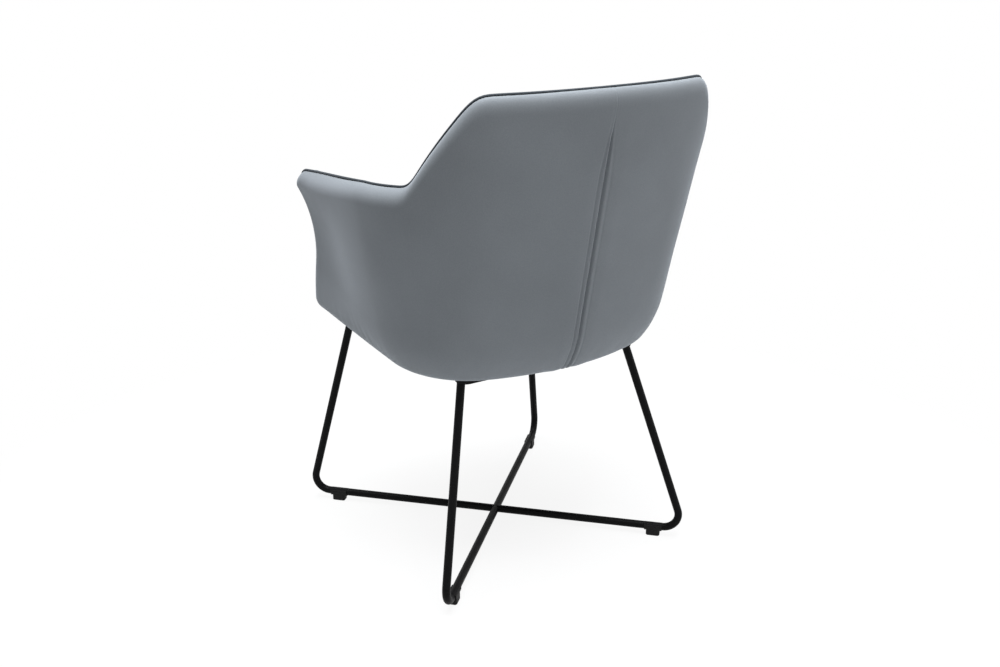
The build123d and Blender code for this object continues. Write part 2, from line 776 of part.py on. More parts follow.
# Glides clipped onto the floor bars near their ends
opposite = {
    "front_left": "rear_right",
    "front_right": "rear_left",
    "rear_left": "front_right",
    "rear_right": "front_left",
}
for corner, far in opposite.items():
    along_bar = rod_plane(floor_corners[corner], floor_corners[far])
    clip_radius = rod_radius + glide_clip_wall
    section = Plane(
        origin=along_bar.from_local_coords((glide_from_corner, 0, 0)),
        x_dir=-along_bar.z_dir,
        z_dir=along_bar.x_dir,
    )
    floor = Plane(origin=(section.origin.X, section.origin.Y, 0), x_dir=along_bar.x_dir, z_dir=(0, 0, 1))
    with BuildPart() as glide:
        with BuildSketch(section):
            Circle(clip_radius)
        extrude(amount=glide_length / 2, both=True)
        with BuildSketch(floor):
            RectangleRounded(glide_pad_length, glide_pad_width, glide_pad_corner)
        extrude(amount=bar_axis_height)
        with BuildSketch(section):
            Circle(rod_radius + glide_gap)
            with Locations((0, glide_lip_rise + clip_radius)):
                Rectangle(4 * clip_radius, 2 * clip_radius)
        extrude(amount=glide_length, both=True, mode=Mode.SUBTRACT)
        chamfer(glide.faces().sort_by(Axis.Z)[0].edges(), glide_toe_chamfer)
    glide.part.label = "glide_" + corner
    export_step(glide.part, "parts/glide_" + corner + ".step")
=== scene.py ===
"""Velvet armchair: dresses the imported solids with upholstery, piping, finishes, light and a camera.

All shapes are in metres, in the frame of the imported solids: +Z up, the sitter looks along -Y.
"""

from math import atan2, cos, pi, radians, sin, sqrt

import bpy
import numpy as np
from bpy.props import FloatProperty, FloatVectorProperty, PointerProperty
from mathutils import Matrix, Vector


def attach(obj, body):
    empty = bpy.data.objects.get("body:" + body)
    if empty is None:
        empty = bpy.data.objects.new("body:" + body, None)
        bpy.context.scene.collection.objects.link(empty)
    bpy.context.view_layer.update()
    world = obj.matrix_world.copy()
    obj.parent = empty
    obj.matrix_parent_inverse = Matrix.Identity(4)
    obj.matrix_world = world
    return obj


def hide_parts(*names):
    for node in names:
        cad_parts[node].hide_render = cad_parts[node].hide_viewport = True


bl_info = {
    "name": "Velvet Armchair",
    "version": (1, 0, 0),
    "blender": (4, 5, 0),
    "location": "3D View > Sidebar > Armchair",
    "description": "Builds the upholstery, piping, finishes and studio of a velvet armchair",
    "category": "Object",
}

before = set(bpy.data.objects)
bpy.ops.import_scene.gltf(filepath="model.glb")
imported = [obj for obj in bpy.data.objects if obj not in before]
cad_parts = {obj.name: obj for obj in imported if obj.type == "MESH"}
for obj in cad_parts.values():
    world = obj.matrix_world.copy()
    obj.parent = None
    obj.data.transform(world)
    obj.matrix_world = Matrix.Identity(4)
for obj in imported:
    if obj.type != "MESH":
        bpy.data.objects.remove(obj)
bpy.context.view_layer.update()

# Place of the shell: its plane is the seat's underside, which rises a little to the front
BASE_Y = -0.046
UNDERSIDE = 0.3843
SEAT_TILT = radians(2.2)

# Plan of the seat board's edge: straight sides, a rounded corner on each side and a bowed rear
BOARD_HALF = 0.2200
BOARD_FRONT = -0.233
BOARD_REAR = 0.2125
BOARD_TOP = 0.0175
CORNER_RADIUS = 0.118
REAR_RADIUS = 0.444
WALL_FRONT = -0.2400
CORNER_X = BOARD_HALF - CORNER_RADIUS
BOW_Y = BOARD_REAR - REAR_RADIUS
CORNER_Y = BOW_Y + sqrt((REAR_RADIUS - CORNER_RADIUS) ** 2 - CORNER_X ** 2)
CORNER_TURN = atan2(CORNER_Y - BOW_Y, CORNER_X)

# Lengths along that edge: one side, one corner, and from an arm's front to the middle of the back
SIDE = CORNER_Y - WALL_FRONT
CORNER = CORNER_RADIUS * CORNER_TURN
HALF = SIDE + CORNER + REAR_RADIUS * (pi / 2 - CORNER_TURN)

# Section of the wall: leans from upright of the lower, middle and upper joints, in degrees
FRONT_LEANS = (0.5, -5.2, 28.0)
BACK_LEANS = (32.5, 9.5, 10.3)
FRONT_FOOT, BACK_FOOT = 0.025, 0.030
LOWER_RISE = 0.0658
FRONT_TILT, FRONT_TILT_RUN = radians(0.6), 0.15

# Line of the piped edge over the underside, with its turns in degrees and a nose on part of an ellipse
ARM_FRONT_HEIGHT, ARM_REAR_HEIGHT = 0.2662, 0.3265
BACK_HEIGHT, BACK_CROWN = 0.4735, 0.004
SLOPE_TURNS = (28.0, 66.3)
SLOPE_ROUND = 0.20
CROWN_TURN = 60
EDGE_AVERAGE = 23
NOSE_DROP, NOSE_LENGTH = 0.020, 0.034
NOSE_PART = 0.97
NOSE_RUN = 0.08

# Where covers and cords meet: the cord's lift and room, the inner roll's start below the outer one's top
# with its shares of fall and sag, the front roll's stretch, and the cover's share of the cloth
CORD_LIFT, CORD_ROOM = 0.0006, 0.0002
INNER_BELOW = 0.0026
INNER_FALL, INNER_SAG = 0.85, 0.75
FRONT_STRETCH = 2.2
COVER_SHARE = 0.8


class ArmchairWall(bpy.types.PropertyGroup):
    """Sizes of the upholstered back and arms"""

    arm_thickness: FloatProperty(
        name="Arm Thickness", description="Thickness of the padded arms", default=0.042, unit="LENGTH"
    )
    back_thickness: FloatProperty(
        name="Back Thickness", description="Thickness of the padded back", default=0.034, unit="LENGTH"
    )
    arm_edge: FloatProperty(
        name="Arm Edge", description="How deep the piping lies along the arms", default=0.030, unit="LENGTH"
    )
    nose_edge: FloatProperty(
        name="Nose Edge", description="How deep the piping lies at its ends", default=0.025, unit="LENGTH"
    )
    back_edge: FloatProperty(
        name="Back Edge", description="How deep the piping lies along the back", default=0.020, unit="LENGTH"
    )
    arm_roll: FloatProperty(
        name="Arm Roll", description="Height of the rolled edge along the arms", default=0.025, unit="LENGTH"
    )
    back_roll: FloatProperty(
        name="Back Roll", description="Height of the rolled edge along the back", default=0.028, unit="LENGTH"
    )
    nose_roll: FloatProperty(
        name="Nose Roll", description="Height of the rolled edge at its ends", default=0.015, unit="LENGTH"
    )
    front_roll: FloatProperty(
        name="Front Roll", description="Depth of the arms' rounded fronts", default=0.010, unit="LENGTH"
    )
    cloth: FloatProperty(
        name="Cloth", description="Thickness of the velvet with its wadding", default=0.0025, unit="LENGTH"
    )
    piping_diameter: FloatProperty(
        name="Piping Diameter", description="Diameter of the covered cord", default=0.0044, unit="LENGTH"
    )
    seam_depth: FloatProperty(
        name="Seam Depth", description="Depth of the centre-back seam", default=0.0034, unit="LENGTH"
    )
    seam_lip: FloatProperty(
        name="Seam Lip", description="Width of the lap beside the seam", default=0.0085, unit="LENGTH"
    )


class ArmchairSeat(bpy.types.PropertyGroup):
    """Sizes of the seat cushion"""

    crown_height: FloatProperty(
        name="Crown Height", description="Cushion's top over the underside", default=0.098, unit="LENGTH"
    )
    crown_inset: FloatProperty(
        name="Crown Inset", description="How far the rounded edge draws in", default=0.062, unit="LENGTH"
    )
    side_gap: FloatProperty(
        name="Side Gap", description="Room between cushion and wall", default=0.003, unit="LENGTH"
    )
    front_bow: FloatProperty(
        name="Front Bow", description="Bow of the cushion's front edge", default=0.011, unit="LENGTH"
    )
    swell: FloatProperty(
        name="Swell", description="Largest movement while the cushion fills", default=0.005, unit="LENGTH"
    )


class ArmchairFinish(bpy.types.PropertyGroup):
    """Colours of the armchair"""

    velvet: FloatVectorProperty(
        name="Velvet", description="Colour of the velvet", default=(0.136, 0.147, 0.158), subtype="COLOR"
    )
    # The piping's colour is the velvet darkened as painted shade along the piped edge.
    piping: FloatVectorProperty(
        name="Piping", description="Colour of the piping", default=(0.026, 0.031, 0.036), subtype="COLOR"
    )
    coat: FloatVectorProperty(
        name="Rod Coat", description="Colour of the rods", default=(0.0035, 0.0035, 0.0038), subtype="COLOR"
    )
    lining: FloatVectorProperty(
        name="Lining", description="Colour of the lining cloth", default=(0.02, 0.02, 0.022), subtype="COLOR"
    )


class ArmchairStage(bpy.types.PropertyGroup):
    """Studio sizes"""

    lens: FloatProperty(
        name="Lens", description="Focal length in millimetres", default=42.025, unit="CAMERA"
    )
    floor_size: FloatProperty(
        name="Floor Size", description="Width of the floor", default=14.0, unit="LENGTH"
    )


def smooth_step(value):
    """Eased step from 0 to 1: 3v^2 - 2v^3 of the clipped value."""
    value = np.clip(value, 0.0, 1.0)
    return value * value * (3 - 2 * value)


def bell(value, middle, width):
    """Bell curve of height 1: e to minus the square of the distance from the middle over the width."""
    return np.exp(-(((value - middle) / width) ** 2))


def mix(start, end, share):
    """Straight mix of two values."""
    return start + (end - start) * share


def edge_turn(q):
    """Turn of the board's edge: none along the side, then the distance over each arc's radius."""
    return np.where(
        q <= SIDE + CORNER,
        np.maximum(q - SIDE, 0.0) / CORNER_RADIUS,
        CORNER_TURN + (q - SIDE - CORNER) / REAR_RADIUS,
    )


def climb_share(turn):
    """Share of the climb from arm to back at this turn in degrees: straight, with parabolas at its ends."""
    t = np.clip((turn - SLOPE_TURNS[0]) / (SLOPE_TURNS[1] - SLOPE_TURNS[0]), 0.0, 1.0)
    near = np.minimum(t, 1 - t)
    rounded = np.minimum(near, SLOPE_ROUND)
    rise = (rounded ** 2 / (2 * SLOPE_ROUND) + near - rounded) / (1 - SLOPE_ROUND)
    return np.where(t > 0.5, 1 - rise, rise)


def shell_to_world(x, y, h):
    """Turn the shell's plane by the seat's tilt and put it at the underside's height."""
    return np.stack(
        [
            x,
            BASE_Y + y * cos(SEAT_TILT) + h * sin(SEAT_TILT),
            UNDERSIDE - y * sin(SEAT_TILT) + h * cos(SEAT_TILT),
        ],
        axis=-1,
    )


class WallSections:
    """Upright sections through the wall at many places along the board's edge, as whole arrays.

    A place is the distance along the edge from the left arm's front, over the back, to the right arm's
    front, and q is the distance from the nearer front. Each section has its own outward direction r and
    its own height h, and its sizes blend from the arm's front to the back.
    """

    def __init__(self, place, sizes):
        place = np.asarray(place, float)
        side = np.where(place <= HALF, 1.0, -1.0)
        q = np.where(place <= HALF, place, 2 * HALF - place)
        turn = edge_turn(q)
        on_corner = turn <= CORNER_TURN
        radius = np.where(on_corner, CORNER_RADIUS, REAR_RADIUS)
        bend_y = np.where(on_corner, CORNER_Y, BOW_Y) + radius * np.sin(turn)
        self.q = q
        self.x = side * (np.where(on_corner, CORNER_X, 0.0) + radius * np.cos(turn))
        self.y = np.where(q <= SIDE, WALL_FRONT + q, bend_y)
        self.out = (side * np.cos(turn), np.sin(turn))
        lean = FRONT_TILT * (1 - smooth_step(q / FRONT_TILT_RUN))
        self.rise = (np.sin(lean), np.cos(lean))
        climb = climb_share(np.degrees(turn))
        nose = 1 - smooth_step(q / NOSE_RUN)
        self.thickness = mix(sizes.arm_thickness, sizes.back_thickness, climb)
        self.edge = mix(sizes.arm_edge, sizes.back_edge, climb) - (sizes.arm_edge - sizes.nose_edge) * nose
        self.roll = mix(sizes.arm_roll, sizes.back_roll, climb) - (sizes.arm_roll - sizes.nose_roll) * nose
        share = smooth_step(q / SIDE)
        self.foot = mix(FRONT_FOOT, BACK_FOOT, share)
        self.low, self.mid, self.top = (
            np.radians(mix(front, back, share)) for front, back in zip(FRONT_LEANS, BACK_LEANS)
        )
        self.height = self.edge_height(q)

    @staticmethod
    def edge_height(q):
        """Height of the piped edge: the arm's slow rise, the climb to the back, and the back's low crown.

        The line is averaged over a short stretch, which rounds the start of the climb. The nose then
        droops along part of a quarter ellipse, short of the point where that stands upright.
        """
        grid = np.linspace(0.0, HALF, 1200)
        turn = np.degrees(edge_turn(grid))
        rise = np.minimum(grid / (SIDE + CORNER_RADIUS * radians(SLOPE_TURNS[0])), 1.0)
        climb = (BACK_HEIGHT - ARM_REAR_HEIGHT) * climb_share(turn)
        height = mix(ARM_FRONT_HEIGHT, ARM_REAR_HEIGHT, rise) + climb
        height = height + BACK_CROWN * smooth_step((turn - CROWN_TURN) / (90 - CROWN_TURN))
        window = np.hanning(2 * EDGE_AVERAGE + 1)
        padded = np.pad(height, EDGE_AVERAGE, mode="reflect", reflect_type="odd")
        height = np.convolve(padded, window / window.sum(), mode="valid")
        ahead = 1 - np.minimum(grid / NOSE_LENGTH, 1.0)
        height = height - NOSE_DROP * (1 - np.sqrt(1 - NOSE_PART * ahead ** 2))
        return np.interp(q, grid, height)

    def joints(self, depth):
        """Lower, middle and upper joints of the face that lies this deep inside the outer face."""
        foot = (self.foot * np.cos(self.low), self.foot * (1 - np.sin(self.low)))
        middle = (foot[0] + LOWER_RISE * np.tan((self.low + self.mid) / 2), foot[1] + LOWER_RISE)
        upper_h = self.height - self.edge * np.sin(self.top) - self.roll * np.cos(self.top)
        upper = (middle[0] + (upper_h - middle[1]) * np.tan((self.mid + self.top) / 2), upper_h)
        leans = (self.low, self.mid, self.top)
        return [
            (r - depth * np.cos(lean), h + depth * np.sin(lean))
            for (r, h), lean in zip((foot, middle, upper), leans)
        ]

    def lifted(self, depth, up):
        """Point this deep inside the outer face and this far up from the roll's start, along the face."""
        r, h = self.joints(depth)[2]
        return r + up * np.sin(self.top), h + up * np.cos(self.top)

    @staticmethod
    def face_rows(start, end, start_lean, end_lean, count):
        """Rows of a circular arc between two joints.

        The chord from the start turns evenly from half the arc's turn outward to the chord itself,
        and grows as sin(t turn / 2) / sin(turn / 2).
        """
        t = np.linspace(0.0, 1.0, count)[:, None]
        turn = start_lean - end_lean
        turn = np.where(np.abs(turn) < 1e-4, 1e-4, turn)
        dr, dh = end[0] - start[0], end[1] - start[1]
        grow = np.sin(t * turn / 2) / np.sin(turn / 2)
        swing = (1 - t) * turn / 2
        return (
            start[0] + grow * (np.cos(swing) * dr + np.sin(swing) * dh),
            start[1] + grow * (np.cos(swing) * dh - np.sin(swing) * dr),
        )

    def foot_rows(self, depth, count):
        """Rows round the bottom edge: a circle of the foot's radius less the depth."""
        a = mix(np.full_like(self.low, pi / 2), self.low, np.linspace(0.0, 1.0, count)[:, None])
        radius = self.foot - depth
        return radius * np.cos(a), self.foot - radius * np.sin(a)

    def roll_rows(self, depth, reach, count):
        """Rows over the rolled outer edge: a quarter ellipse from the face in to this reach on the top."""
        a = np.linspace(0.0, pi / 2, count)[:, None]
        return self.lifted(depth + (reach - depth) * (1 - np.cos(a)), (self.roll - depth) * np.sin(a))

    def inner_roll_rows(self, start, below, count):
        """Rows over the inner edge, from beside the piping to the inner face.

        The depth grows as 2t - t^2. The height falls as t^1.5, and by a share of the depth's growth
        along the face's lean, which fades as 1 - t.
        """
        t = np.linspace(0.0, 1.0, count)[:, None]
        width = (self.thickness - start) * (2 * t - t * t)
        top = self.roll - below
        fall = INNER_FALL * top * t ** 1.5
        sag = INNER_SAG * width * np.tan(self.top) * (1 - t)
        return self.lifted(start + width, top - fall - sag)

    @staticmethod
    def line_rows(start, end, count):
        """Rows of a straight line between two points."""
        t = np.linspace(0.0, 1.0, count)[:, None]
        return mix(start[0], end[0], t), mix(start[1], end[1], t)

    def world(self, r, h, ahead=0.0):
        """Place points of the sections in the chair's frame, and move them ahead of their plane."""
        x = self.x + r * self.out[0]
        y = self.y + r * self.out[1] + h * self.rise[0] - ahead * self.rise[1]
        z = h * self.rise[1] + ahead * self.rise[0]
        return shell_to_world(x, y, z)


def join_rows(*parts):
    """Stack runs of rows, leaving out each run's first row where it repeats the last one."""
    r = np.concatenate([parts[0][0]] + [p[0][1:] for p in parts[1:]])
    h = np.concatenate([parts[0][1]] + [p[1][1:] for p in parts[1:]])
    return r, h


def grid_normals(points):
    """Unit normals of a grid of points: the cross product of its two differences."""
    down = np.gradient(points, axis=0)
    across = np.gradient(points, axis=1)
    normal = np.cross(across, down)
    return normal / np.maximum(np.linalg.norm(normal, axis=-1, keepdims=True), 1e-12)


def grid_faces(rows, columns, closed=False):
    """Quads of a grid of points, closed round its columns if asked."""
    i = np.arange(rows - 1)
    j = np.arange(columns if closed else columns - 1)
    i, j = np.meshgrid(i, j, indexing="ij")
    here, beside = i * columns + j, i * columns + (j + 1) % columns
    return np.stack([here, beside, beside + columns, here + columns], -1).reshape(-1, 4)


def closed_faces(rows, columns):
    """Faces of a grid that is closed round its columns, with one face over each end."""
    ring = np.arange(columns)
    ends = [ring[::-1].tolist(), (ring + (rows - 1) * columns).tolist()]
    return grid_faces(rows, columns, closed=True).tolist() + ends


def new_piece(name, points, faces, material, slot):
    """Mesh object at the origin from points and faces, smooth, riding on the chair."""
    mesh = bpy.data.meshes.new(name)
    mesh.from_pydata(points.reshape(-1, 3).tolist(), [], [list(f) for f in faces])
    mesh.polygons.foreach_set("use_smooth", np.ones(len(mesh.polygons), bool))
    mesh.update()
    piece = bpy.data.objects.new(name, mesh)
    bpy.context.scene.collection.objects.link(piece)
    piece.data.materials.append(material)
    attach(piece, "root")
    return piece


def give_thickness(piece, thickness):
    """Closed cloth of this thickness behind the surface."""
    wall = piece.modifiers.new("Cloth", "SOLIDIFY")
    wall.thickness = thickness
    wall.offset = -1.0
    wall.use_even_offset = False


def sew_cover(context, name, points, mirrored=False):
    """Velvet piece of the wall with its cloth's thickness, its faces turned round on the right side."""
    faces = grid_faces(*points.shape[:2])
    piece = new_piece(name, points, faces[:, ::-1] if mirrored else faces, velvet(context), "velvet")
    give_thickness(piece, context.scene.armchair_wall.cloth * COVER_SHARE)
    return piece


def noise_field(points, seed, scale):
    """Soft, repeatable unevenness: a sum of plane waves of seeded directions and phases, about -1 to 1."""
    count = 24
    rng = np.random.default_rng(seed)
    direction = rng.normal(size=(count, 3))
    direction /= np.linalg.norm(direction, axis=1, keepdims=True)
    length = scale * rng.uniform(0.7, 1.6, count)
    phase = rng.uniform(0, 2 * pi, count)
    total = np.zeros(points.shape[:-1])
    for d, l, p in zip(direction, length, phase):
        total += np.sin(points @ d * (2 * pi / l) + p)
    return total / sqrt(count / 2) / 2.2


# Finishes: the span that most of a noise's values fall in, the sheens, and colours of the lesser parts
NOISE_SPAN = (0.3, 0.7)
VELVET_SHEEN, PIPING_SHEEN = 0.26, 0.08
NYLON = (0.006, 0.006, 0.006)
ZINC = (0.62, 0.62, 0.6)
BIRCH = (0.6, 0.43, 0.26)


def shader(name):
    """New material with its Principled shader."""
    material = bpy.data.materials.new(name)
    material.use_nodes = True
    tree = material.node_tree
    return material, tree, tree.nodes["Principled BSDF"]


def add_node(tree, kind, **values):
    """New node with input values by socket name."""
    node = tree.nodes.new(kind)
    for name, value in values.items():
        node.inputs[name].default_value = value
    return node


def object_noise(tree, scale, detail=2.0, roughness=0.5):
    """Value of a noise on Object coordinates, at this many cells a metre."""
    coordinates = tree.nodes.get("Texture Coordinate") or tree.nodes.new("ShaderNodeTexCoord")
    noise = add_node(tree, "ShaderNodeTexNoise", Scale=scale, Detail=detail, Roughness=roughness)
    tree.links.new(coordinates.outputs["Object"], noise.inputs["Vector"])
    return noise.outputs["Fac"]


def ramp(tree, source, low, high, span=(0.0, 1.0)):
    """Colour between two colours, over this span of the source's values."""
    node = tree.nodes.new("ShaderNodeValToRGB")
    for element, position, colour in zip(node.color_ramp.elements, span, (low, high)):
        element.position = position
        element.color = (*colour, 1)
    tree.links.new(source, node.inputs["Fac"])
    return node.outputs["Color"]


def multiplied(tree, a, b):
    """Product of two colours."""
    node = tree.nodes.new("ShaderNodeMix")
    node.data_type = "RGBA"
    node.blend_type = "MULTIPLY"
    node.inputs[0].default_value = 1.0
    tree.links.new(a, node.inputs[6])
    tree.links.new(b, node.inputs[7])
    return node.outputs[2]


def add_grain(tree, bsdf, height, strength, distance):
    """Fine bumps of this height on the shader's normal."""
    bump = add_node(tree, "ShaderNodeBump", Strength=strength, Distance=distance)
    tree.links.new(height, bump.inputs["Height"])
    tree.links.new(bump.outputs["Normal"], bsdf.inputs["Normal"])


def seen_rays(tree):
    """Socket that is 1 for rays from the camera, mirrors and glass, and 0 for the light on the chair."""
    path = tree.nodes.new("ShaderNodeLightPath")
    seen = path.outputs["Is Camera Ray"]
    for name in ("Is Glossy Ray", "Is Transmission Ray"):
        either = tree.nodes.new("ShaderNodeMath")
        either.operation = "MAXIMUM"
        tree.links.new(seen, either.inputs[0])
        tree.links.new(path.outputs[name], either.inputs[1])
        seen = either.outputs["Value"]
    return seen


def scaled(colour, factor):
    """Colour made lighter or darker."""
    return tuple(min(c * factor, 1.0) for c in colour)


def velvet_material(name, colour, sheen):
    """Short-pile velvet: brushed patches, fine pile and a sheen at glancing angles."""
    material, tree, bsdf = shader(name)
    brushed = object_noise(tree, 5.0, 3.0, 0.55)
    patches = ramp(tree, brushed, scaled(colour, 0.92), scaled(colour, 1.07), NOISE_SPAN)
    pile = ramp(tree, object_noise(tree, 700.0, 2.0, 0.6), (0.86,) * 3, (1.0,) * 3, NOISE_SPAN)
    tree.links.new(multiplied(tree, patches, pile), bsdf.inputs["Base Color"])
    add_grain(tree, bsdf, object_noise(tree, 900.0, 2.0, 0.6), 0.12, 0.0006)
    bsdf.inputs["Roughness"].default_value = 0.9
    bsdf.inputs["Specular IOR Level"].default_value = 0.2
    bsdf.inputs["Sheen Weight"].default_value = sheen
    bsdf.inputs["Sheen Roughness"].default_value = 0.34
    bsdf.inputs["Sheen Tint"].default_value = (0.86, 0.92, 1.0, 1.0)
    return material


def coat_material(name, colour):
    """Satin powder coat: near-black with a fine orange-peel grain."""
    material, tree, bsdf = shader(name)
    tint = ramp(tree, object_noise(tree, 260.0), scaled(colour, 0.8), scaled(colour, 1.25), NOISE_SPAN)
    tree.links.new(tint, bsdf.inputs["Base Color"])
    rough = ramp(tree, object_noise(tree, 40.0, 3.0), (0.38,) * 3, (0.48,) * 3, NOISE_SPAN)
    tree.links.new(rough, bsdf.inputs["Roughness"])
    bsdf.inputs["Specular IOR Level"].default_value = 0.06
    add_grain(tree, bsdf, object_noise(tree, 1400.0, 1.0), 0.12, 0.0003)
    return material


def plain_material(name, colour, roughness, metallic=0.0, specular=0.4):
    """Plain finish with slight colour change, uneven gloss and a fine grain."""
    material, tree, bsdf = shader(name)
    spots = object_noise(tree, 100.0, 3.0)
    tint = ramp(tree, spots, scaled(colour, 0.85), scaled(colour, 1.12), NOISE_SPAN)
    tree.links.new(tint, bsdf.inputs["Base Color"])
    dull = (min(roughness * 1.15, 1),) * 3
    rough = ramp(tree, object_noise(tree, 50.0, 3.0), (roughness * 0.9,) * 3, dull)
    tree.links.new(rough, bsdf.inputs["Roughness"])
    bsdf.inputs["Metallic"].default_value = metallic
    bsdf.inputs["Specular IOR Level"].default_value = specular
    add_grain(tree, bsdf, object_noise(tree, 900.0), 0.15, 0.0003)
    return material


def finish(name, make, *values):
    """Material by name, made on first use."""
    return bpy.data.materials.get(name) or make(name, *values)


def velvet(context):
    """Grey velvet of the covers and the cushion."""
    return finish("grey_velvet", velvet_material, tuple(context.scene.armchair_finish.velvet), VELVET_SHEEN)


def dark_velvet(context):
    """Velvet of the piping, made darker as painted shade along the piped edge, with less sheen."""
    return finish("dark_velvet", velvet_material, tuple(context.scene.armchair_finish.piping), PIPING_SHEEN)


def front_places(depth, count):
    """Places over the arm's front roll, with how deep each lies: a quarter ellipse, longer than deep."""
    a = np.linspace(0.0, pi / 2, count)
    return FRONT_STRETCH * depth * (1 - np.cos(a)), depth * (1 - np.sin(a))


# Outer panels: finer columns near the seam, the strip under the seat, and the turn-in beside the cord
SEAM_RUN = 0.030
UNDER_STRIP = 0.022
TURN_IN, TURN_DOWN = 0.0006, 0.0028

# Cloth beside the seam: its ends over the underside and below the edge, then heights and widths
SEAM_FOOT, SEAM_HEAD = 0.02, 0.06
DITCH_WIDTH = 0.0022
STRIP_HEIGHT = 0.0010
SHOULDER_DEPTH, SHOULDER_WIDTH = 0.0016, 0.0016
SWELL_HEIGHT, SWELL_PLACE, SWELL_WIDTH = 0.0012, 0.022, 0.012

# Unevenness of the outer cloth, and the small creases of its lower edge
UNEVEN_HEIGHT, UNEVEN_LENGTH, UNEVEN_RUN = 0.0005, 0.16, 0.05
CREASE_HEIGHT, CREASE_LENGTH, CREASE_SHAPE = 0.0005, 0.022, (1, 1, 0.35)
CREASE_PLACE, CREASE_WIDTH = 0.030, 0.018
CREASE_START, CREASE_RUN = 0.06, 0.1


class ARMCHAIR_OT_outer_covers(bpy.types.Operator):
    """Sew the two outer panels, from under the seat over the rolled edge to the piping"""

    bl_idname = "armchair.outer_covers"
    bl_label = "Outer Covers"

    def execute(self, context):
        sizes = context.scene.armchair_wall
        front, front_depth = front_places(sizes.front_roll, 13)
        body = np.linspace(front[-1], HALF - SEAM_RUN, 140)[1:]
        seam = HALF - SEAM_RUN * (1 - np.linspace(0.0, 1.0, 46)[1:]) ** 1.15
        q = np.concatenate([front, body, seam])
        depth = np.concatenate([front_depth, np.zeros(len(body) + len(seam))])
        for name, mirrored in (("outer_cover_left", False), ("outer_cover_right", True)):
            place = 2 * HALF - q if mirrored else q
            points = self.panel(WallSections(place, sizes), depth, sizes, mirrored)
            piece = sew_cover(context, name, points, mirrored)
            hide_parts(name)
        return {"FINISHED"}

    @classmethod
    def panel(cls, w, depth, sizes, mirrored):
        """Grid of one panel.

        Rows run from the tucked-under edge round the foot, up the face, over the roll and down beside the
        piping. The surface is then moved along its normal by the seam's section and a slight unevenness,
        with finer creases along its lower edge.
        """
        end = w.edge - sizes.piping_diameter - CORD_ROOM
        low, middle, high = w.joints(depth)
        under = (np.full_like(w.q, -UNDER_STRIP), depth)
        roll_end = w.lifted(end, w.roll - depth)
        tuck = w.lifted(end + TURN_IN, w.roll - depth - TURN_DOWN)
        r, h = join_rows(
            w.line_rows(under, (np.zeros_like(w.q), depth), 5),
            w.foot_rows(depth, 12),
            w.face_rows(low, middle, w.low, w.mid, 16),
            w.face_rows(middle, high, w.mid, w.top, 44),
            w.roll_rows(depth, end, 26),
            w.line_rows(roll_end, tuck, 4),
        )
        points = w.world(r, h)
        normal = grid_normals(points)
        if mirrored:
            normal = -normal
        move = cls.seam_section(w, h, sizes, mirrored)
        move = move + UNEVEN_HEIGHT * noise_field(points, 4, UNEVEN_LENGTH) * smooth_step(w.q / UNEVEN_RUN)
        crease = bell(h, CREASE_PLACE, CREASE_WIDTH) * smooth_step((w.q - CREASE_START) / CREASE_RUN)
        move = move + CREASE_HEIGHT * crease * noise_field(points * CREASE_SHAPE, 9, CREASE_LENGTH)
        return points + normal * move[..., None]

    @staticmethod
    def seam_section(w, h, sizes, mirrored):
        """How far the cloth stands out beside the seam: a sum of bell curves of the distance from it.

        They are the sewn ditch, the lapped strip, the shoulder past the strip, which is half as deep on
        the right panel, and a broad swell. All fade where the seam meets the roll, and the strip narrows.
        """
        away = np.abs(HALF - w.q)
        share = np.clip((h - SEAM_FOOT) / (w.height - SEAM_HEAD), 0.0, 1.0)
        held = smooth_step((1.02 - share) / 0.14)
        lip = sizes.seam_lip * (0.35 + 0.65 * smooth_step((1.0 - share) / 0.25))
        ditch = -sizes.seam_depth * bell(away, 0.0, DITCH_WIDTH)
        strip = STRIP_HEIGHT * bell(away, 0.45 * lip, 0.32 * lip)
        shoulder = -SHOULDER_DEPTH * bell(away, 1.08 * lip, SHOULDER_WIDTH) * (0.5 if mirrored else 1.0)
        swell = SWELL_HEIGHT * bell(away, SWELL_PLACE, SWELL_WIDTH)
        return held * (ditch + strip + shoulder + swell)


# Inner cover: places of its first columns, its tuck under the cord, and its padding
INNER_ENDS = np.array([0.0, 0.0015])
INNER_START = 0.004
CORD_SHARE = 0.4
TUCK_BACK, TUCK_DOWN = 0.0012, 0.004
PUFF_HEIGHT, PUFF_RUN = 0.0022, 0.06
PUFF_UNEVEN, PUFF_LENGTH = 0.0007, 0.14


